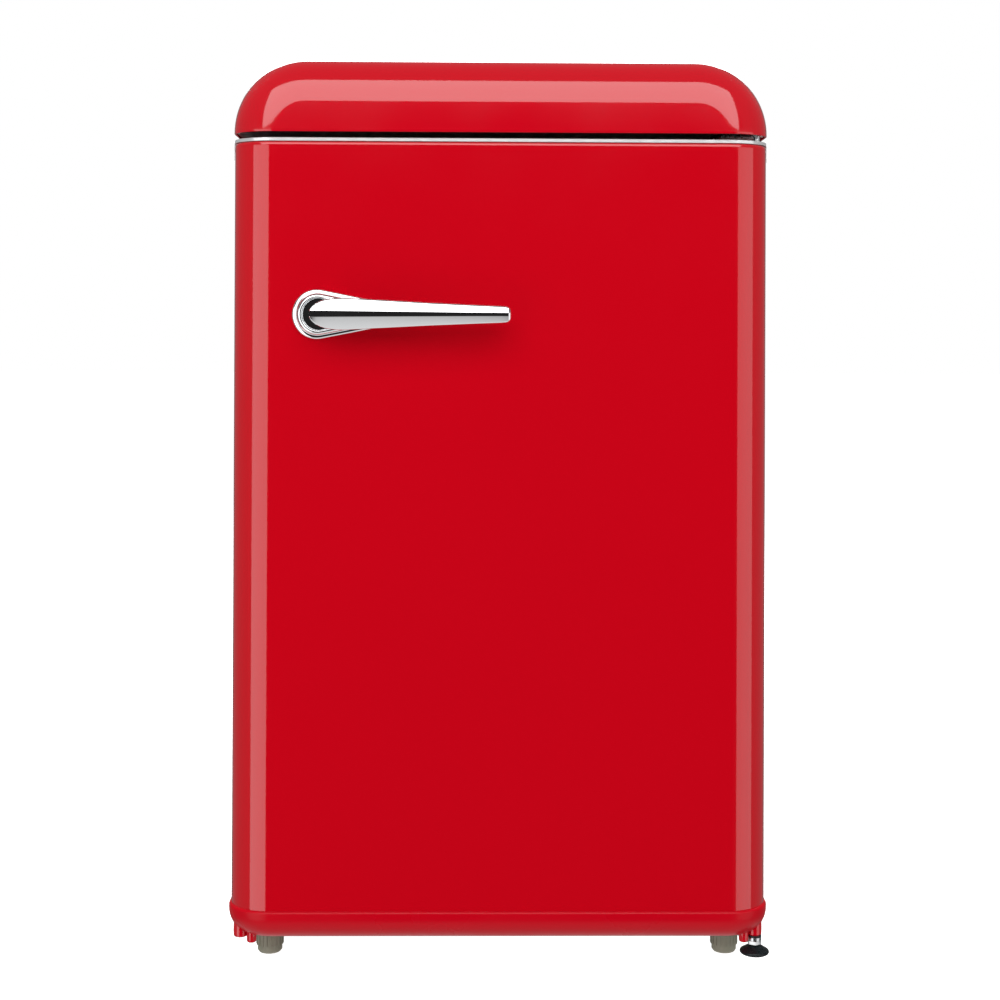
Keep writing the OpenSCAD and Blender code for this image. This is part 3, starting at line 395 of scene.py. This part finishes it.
hinge = [j for j in frame["joints"] if j["name"] == "door_hinge"][0]["pos_m"]
BOSS = [(0.0068, 0.03), (0.0072, 0.006), (0.007, 0.0012), (0.0064, 0.0004)]
CLOSED_END = [(0.0056, 0.0), (0.0052, 0.0014), (0.0034, 0.0016)]
SOCKET_END = [(0.00622, 0.0), (0.005944, 0.0014), (0.0062, 0.0016)]
PEG_SHAPE = [(0.0052, 0.014), (0.0048, 0.0022), (0.0046, 0.0008), (0.0038, 0.0)]
PEG_IN = 0.0115
PEG_FORWARD = 0.005
# the open socket on the hinge side ends higher than the closed one
for side, word, end, lift in ((-1, "left", CLOSED_END, 0.0004), (1, "right", SOCKET_END, 0.0016)):
    revolve(f"end_cap_boss_{word}", BOSS + end, (side * hinge[0], hinge[1], low.z + PEG + lift),
            "door", "red_plastic")
    revolve(f"end_cap_peg_{word}", PEG_SHAPE,
            (side * (hinge[0] - PEG_IN), hinge[1] - PEG_FORWARD, low.z), "door", "red_plastic")

# ---------------------------------------------------------------- handle

low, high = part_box("handle_base")
BASE_R = (high.z - low.z) / 2
seat = Vector((low.x + BASE_R, front_y, (low.z + high.z) / 2))
NECK_X = 0.057
NECK_HALF = 0.0134
DISH_SHIFT = 0.2  # how far the inner rings move towards the neck, per unit of inset


def teardrop(inset, lift):
    """A ring of the handle's base: a circle drawn out to the neck, inset and lifted off the door."""
    r = BASE_R - inset
    end = max(NECK_HALF - inset, 0.0004)
    turn = math.atan2(end, NECK_X) + math.acos(min(1, r / math.hypot(NECK_X, end)))
    flat = []
    for i in range(61):
        a = turn + (2 * math.pi - 2 * turn) * i / 60
        flat.append((r * math.cos(a), r * math.sin(a)))
    touch = flat[-1]
    flat += [(touch[0] + (NECK_X - touch[0]) * k / 8, touch[1] + (-end - touch[1]) * k / 8)
             for k in range(1, 9)]
    flat += [(NECK_X, -end * 0.4), (NECK_X, end * 0.4)]
    flat += [(NECK_X + (flat[0][0] - NECK_X) * k / 8, end + (flat[0][1] - end) * k / 8)
             for k in range(8)]
    return [Vector((seat.x + x + inset * DISH_SHIFT, seat.y - lift, seat.z + z)) for x, z in flat]


BASE_STEPS = [(0, 0), (0, 0.0022), (0.0003, 0.0029), (0.0009, 0.0034), (0.0018, 0.0037),
              (0.0033, 0.0039), (0.0036, 0.0043), (0.0038, 0.0056), (0.0042, 0.0068),
              (0.0050, 0.0079), (0.0060, 0.0086), (0.0070, 0.0088), (0.0079, 0.0087),
              (0.0086, 0.0081), (0.0089, 0.0070), (0.0090, 0.0036), (0.0125, 0.0036)]
verts, faces = bridge([teardrop(a, b) for a, b in BASE_STEPS], closed=True, last=True)
base_piece = piece("handle_escutcheon", verts, faces, "door", "chrome", sharp=40)
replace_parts(base_piece, "handle_base")

# x along the lever, half height, front, back
LEVER = [(-0.0042, 0.0034, 0.0345, 0.0035), (-0.0034, 0.0052, 0.03456, 0.0035),
         (-0.0008, 0.0082, 0.03475, 0.0035), (0.0024, 0.0106, 0.0350, 0.0035),
         (0.0062, 0.0125, 0.03525, 0.0035), (0.0106, 0.0139, 0.03555, 0.004),
         (0.0170, 0.0149, 0.0360, 0.005), (0.0280, 0.0155, 0.0367, 0.008),
         (0.0400, 0.0149, 0.0373, 0.012), (0.0540, 0.0141, 0.0377, 0.0165),
         (0.0700, 0.0133, 0.0378, 0.0195), (0.1100, 0.0111, 0.0376, 0.0215),
         (0.1500, 0.0093, 0.0370, 0.0228), (0.1790, 0.0081, 0.0364, 0.0236),
         (0.1840, 0.0077, 0.0361, 0.0238), (0.1865, 0.0069, 0.0356, 0.0243),
         (0.1880, 0.0056, 0.0346, 0.0252), (0.1886, 0.0042, 0.0332, 0.0264)]
FACET = math.tan(math.radians(26.5))  # how fast a facet falls back from the ridge


def lever_ring(x, half_high, front, back):
    """A slice of the lever: a narrow front land, two sloping facets and a waisted back."""
    land = max(0.0021, 0.0035 - 0.0085 * max(x, 0))
    land = min(land, half_high * 0.72)
    edge_at = front - (half_high - land) * FACET
    soft = 0.0005
    side = [(0.0, front + 0.00012), (land - soft, front), (land + soft * 0.4, front - soft * 0.5),
            (half_high - 0.0012, edge_at + 0.0009), (half_high - 0.0003, edge_at),
            (half_high, edge_at - 0.0009), (half_high * 0.93, (edge_at + back) / 2),
            (half_high * 0.72, back + 0.0012), (half_high * 0.62, back)]
    loop = side[1:] + [(-h, d) for h, d in reversed(side[1:])]
    return [Vector((seat.x + x, seat.y - d, seat.z + h)) for h, d in loop]


verts, faces = bridge([lever_ring(*s) for s in LEVER], closed=True, first=True, last=True)
lever = piece("handle_arm", verts, faces, "door", "chrome", sharp=16)
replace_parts(lever, "handle_lever")

# ---------------------------------------------------------------- containers inside


def tub(name, node, body, wall, corner, taper, lip=0.0016):
    """An open container with rounded corners, tapered sides and a rolled lip, in a node's box."""
    a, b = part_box(node)
    cx, cy = (a.x + b.x) / 2, (a.y + b.y) / 2
    wide, far = (b.x - a.x) / 2, (b.y - a.y) / 2

    def ring(z, inset, r):
        out = []
        r = max(r, 0.0008)
        for sx, sy, start in ((1, -1, -90), (1, 1, 0), (-1, 1, 90), (-1, -1, 180)):
            for t in arc(start, start + 90, 8):
                out.append(Vector((cx + sx * (wide - inset - r) + r * math.cos(t),
                                   cy + sy * (far - inset - r) + r * math.sin(t), z)))
        return out

    foot = 0.005
    rings = [ring(a.z, taper + foot, corner - foot * 0.6)]
    for t in arc(0, 90, 5)[1:]:
        rings.append(ring(a.z + foot * (1 - math.cos(t)), taper + foot * (1 - math.sin(t)), corner))
    tall = b.z - a.z
    rings.append(ring(b.z - 0.006, lip + 0.0004, corner))
    rings.append(ring(b.z - 0.0052, lip, corner))
    rings.append(ring(b.z - 0.0046, 0.0002, corner))
    rings.append(ring(b.z - 0.0040, 0.0, corner))
    rings.append(ring(b.z - 0.0008, 0.0, corner))
    rings.append(ring(b.z, 0.0008, corner))
    rings.append(ring(b.z, lip + wall - 0.0006, corner))
    rings.append(ring(b.z - 0.0008, lip + wall, corner))
    rings.append(ring(a.z + foot + wall, taper + wall, corner - wall))
    rings.append(ring(a.z + wall + 0.001, taper + wall + foot * 0.6, corner - wall))
    rings.append(ring(a.z + wall, taper + wall + foot, corner - wall - 0.001))
    verts, faces = bridge(rings, closed=True, first=True, last=True)
    made = piece(name, verts, faces, body, "clear_plastic", sharp=40)
    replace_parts(made, node)
    return made


for node in ("bin_lower", "bin_middle", "bin_upper"):
    tub(f"door_{node}", node, body_of_node[node], 0.0022, 0.012, 0.003)
tub("meltwater_tray", "drip_tray", body_of_node["drip_tray"], 0.0018, 0.010, 0.0015)

# ---------------------------------------------------------------- lock nut on the levelling foot

NUT_HALF_FLATS = 0.0065
NUT_ACROSS = 0.0073
NUT_CHAMFERED = 0.0063
NUT_TALL = 0.0042
NUT_CHAMFER = 0.0006
nut_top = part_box("lower_hinge_bracket")[0].z
nut = []
for z, r in ((nut_top, NUT_CHAMFERED), (nut_top - NUT_CHAMFER, NUT_ACROSS),
             (nut_top - NUT_TALL + NUT_CHAMFER, NUT_ACROSS), (nut_top - NUT_TALL, NUT_CHAMFERED)):
    ring = []
    for i in range(24):
        a = 2 * math.pi * i / 24
        flat = NUT_HALF_FLATS / math.cos((a + math.pi / 6) % (math.pi / 3) - math.pi / 6)
        ring.append(Vector((hinge[0] + min(r, flat) * math.cos(a),
                            hinge[1] + min(r, flat) * math.sin(a), z)))
    nut.append(ring)
piece("levelling_lock_nut", *bridge(nut, closed=True, first=True, last=True),
      body_of_node["lower_hinge_bracket"], "zinc_steel", sharp=25)

# ---------------------------------------------------------------- studio

floor_mesh = bpy.data.meshes.new("studio_floor")
FLOOR = 30.0
FLOOR_GLOW = 0.9
floor_mesh.from_pydata([(-FLOOR, -FLOOR, 0), (FLOOR, -FLOOR, 0), (FLOOR, FLOOR, 0),
                        (-FLOOR, FLOOR, 0)], [], [(0, 1, 2, 3)])
floor = bpy.data.objects.new("studio_floor", floor_mesh)
bpy.context.scene.collection.objects.link(floor)
floor_mesh.materials.append(shader("studio_floor", (0.93, 0.93, 0.93), 0.9, spec=0.1, tone=0.004,
                                   patch=1.5, grain=(60.0, 0.01)))
floor_shader = floor_mesh.materials[0].node_tree.nodes["Principled BSDF"]
floor_shader.inputs["Emission Color"].default_value = (1, 1, 1, 1)
floor_shader.inputs["Emission Strength"].default_value = FLOOR_GLOW
floor.visible_glossy = False
floor.visible_diffuse = False
floor.visible_transmission = False
floor.visible_shadow = False
floor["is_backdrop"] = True


def softbox(name, place, target, wide, tall, power, colour=(1, 1, 1)):
    """A rectangular studio light that faces a target."""
    data = bpy.data.lights.new(name, "AREA")
    data.shape = "RECTANGLE"
    data.size = wide
    data.size_y = tall
    data.energy = power
    data.color = colour
    lamp = bpy.data.objects.new(name, data)
    bpy.context.scene.collection.objects.link(lamp)
    lamp.location = place
    lamp.rotation_euler = (Vector(place) - Vector(target)).to_track_quat("Z", "Y").to_euler()
    lamp.visible_camera = False
    return lamp


softbox("top_softbox", (0, -2.545, 2.295), (0, -0.03, 0.65), 4.4, 2.28, 85)
softbox("left_softbox", (-1.50, -1.95, -0.065), (-0.2, -0.2, -0.065), 1.5, 2.37, 16.5)
softbox("right_softbox", (1.86, -1.55, -0.065), (0.2, -0.2, -0.065), 1.6, 2.37, 10.8)
for side, name in ((-1, "left_fill"), (1, "right_fill")):
    fill = softbox(name, (side * 2.2, 1.0, 2.7), (side * 0.2, 0.1, 0.4), 1.6, 1.6, 45)
    fill.visible_glossy = False
softbox("rear_softbox", (0, 3.0, 2.4), (0, 0.2, 0.4), 2.6, 1.6, 50)

world = bpy.data.worlds.new("studio")
bpy.context.scene.world = world
world.use_nodes = True
tree = world.node_tree
tree.nodes.clear()
world_out = tree.nodes.new("ShaderNodeOutputWorld")
seen = tree.nodes.new("ShaderNodeBackground")
seen.inputs["Color"].default_value = (1, 1, 1, 1)
felt = tree.nodes.new("ShaderNodeBackground")
way = tree.nodes.new("ShaderNodeTexCoord")
split = tree.nodes.new("ShaderNodeSeparateXYZ")
tree.links.new(way.outputs["Generated"], split.inputs[0])


def fade(axis, start, end, strength_at_start, strength_at_end):
    """The world's strength along one direction, smoothed from a start to an end."""
    step = tree.nodes.new("ShaderNodeMapRange")
    step.interpolation_type = "SMOOTHSTEP"
    step.inputs["From Min"].default_value = start
    step.inputs["From Max"].default_value = end
    step.inputs["To Min"].default_value = strength_at_start
    step.inputs["To Max"].default_value = strength_at_end
    tree.links.new(split.outputs[axis], step.inputs["Value"])
    return step.outputs[0]


total = tree.nodes.new("ShaderNodeMath")
total.operation = "ADD"
# dark in front of the door, so that its flat face carries no veil, and light below
tree.links.new(fade("Y", -0.93, -0.60, 0.02, 0.22), total.inputs[0])
tree.links.new(fade("Z", -0.76, -0.50, 0.72, 0.0), total.inputs[1])
tree.links.new(total.outputs[0], felt.inputs["Strength"])
mixer = tree.nodes.new("ShaderNodeMixShader")
ray = tree.nodes.new("ShaderNodeLightPath")
tree.links.new(ray.outputs["Is Camera Ray"], mixer.inputs[0])
tree.links.new(felt.outputs[0], mixer.inputs[1])
tree.links.new(seen.outputs[0], mixer.inputs[2])
tree.links.new(mixer.outputs[0], world_out.inputs["Surface"])
bpy.context.scene.view_settings.view_transform = "Standard"

# ---------------------------------------------------------------- size

low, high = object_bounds()
